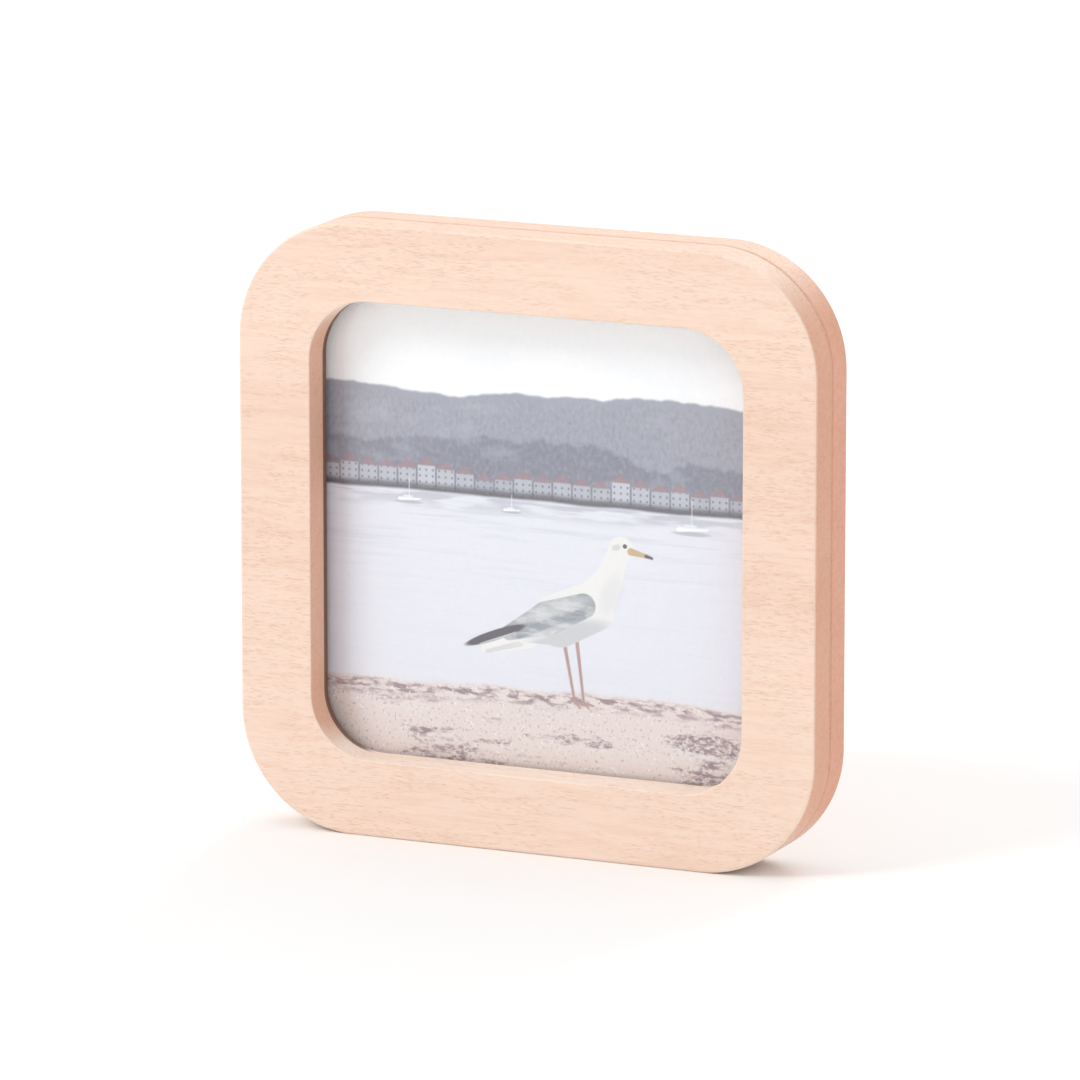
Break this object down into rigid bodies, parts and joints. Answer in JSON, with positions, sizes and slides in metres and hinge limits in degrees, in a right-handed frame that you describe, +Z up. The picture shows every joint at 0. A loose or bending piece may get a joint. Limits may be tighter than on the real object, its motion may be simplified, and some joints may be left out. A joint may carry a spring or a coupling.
{
  "type": "photo frame",
  "caption": "Square wooden photo frame with rounded corners, a clear pane over a print, a screwed back plate and a keyhole for hanging.",
  "frame": {"origin": "middle of the footprint, on the surface that the frame stands on", "axes": "+Z up, front face towards -Y, back face towards +Y, +X to the right when the front is seen"},
  "size_m": [0.128, 0.0164, 0.128],
  "materials": {
    "front_wood": "smooth sanded beech, matt oiled, grain running across the width",
    "back_wood": "smooth sanded beech, matt oiled, grain running across the width",
    "clear_acrylic": "clear polished sheet",
    "photo_paper": "lustre photo paper with a printed face",
    "white_card": "uncoated white card",
    "zinc_plated_steel": "bright zinc plate"
  },
  "bodies": {
    "front_board": {"front_frame": "front_wood"},
    "back_board": {"back_plate": "back_wood"},
    "pane": {"glazing": "clear_acrylic"},
    "print": {"photo_print": "photo_paper"},
    "card": {"backing_card": "white_card"},
    "top_left_screw": {"screw_top_left": "zinc_plated_steel"},
    "top_right_screw": {"screw_top_right": "zinc_plated_steel"},
    "bottom_left_screw": {"screw_bottom_left": "zinc_plated_steel"},
    "bottom_right_screw": {"screw_bottom_right": "zinc_plated_steel"}
  },
  "joints": [
    {"name": "back_plate_lift_off", "type": "slide", "parent": "front_board", "child": "back_board", "axis": [0, 1, 0], "range_m": [0, 0.06]},
    {"name": "glazing_lift_out", "type": "slide", "parent": "front_board", "child": "pane", "axis": [0, 1, 0], "range_m": [0, 0.018]},
    {"name": "print_lift_out", "type": "slide", "parent": "front_board", "child": "print", "axis": [0, 1, 0], "range_m": [0, 0.03]},
    {"name": "card_lift_out", "type": "slide", "parent": "front_board", "child": "card", "axis": [0, 1, 0], "range_m": [0, 0.042]},
    {"name": "top_left_screw_out", "type": "slide", "parent": "back_board", "child": "top_left_screw", "axis": [0, 1, 0], "range_m": [0, 0.02]},
    {"name": "top_right_screw_out", "type": "slide", "parent": "back_board", "child": "top_right_screw", "axis": [0, 1, 0], "range_m": [0, 0.02]},
    {"name": "bottom_left_screw_out", "type": "slide", "parent": "back_board", "child": "bottom_left_screw", "axis": [0, 1, 0], "range_m": [0, 0.02]},
    {"name": "bottom_right_screw_out", "type": "slide", "parent": "back_board", "child": "bottom_right_screw", "axis": [0, 1, 0], "range_m": [0, 0.02]}
  ],
  "couplings": [
    {"joint": "glazing_lift_out", "follows": "back_plate_lift_off", "ratio": 0.3},
    {"joint": "print_lift_out", "follows": "back_plate_lift_off", "ratio": 0.5},
    {"joint": "card_lift_out", "follows": "back_plate_lift_off", "ratio": 0.7}
  ]
}
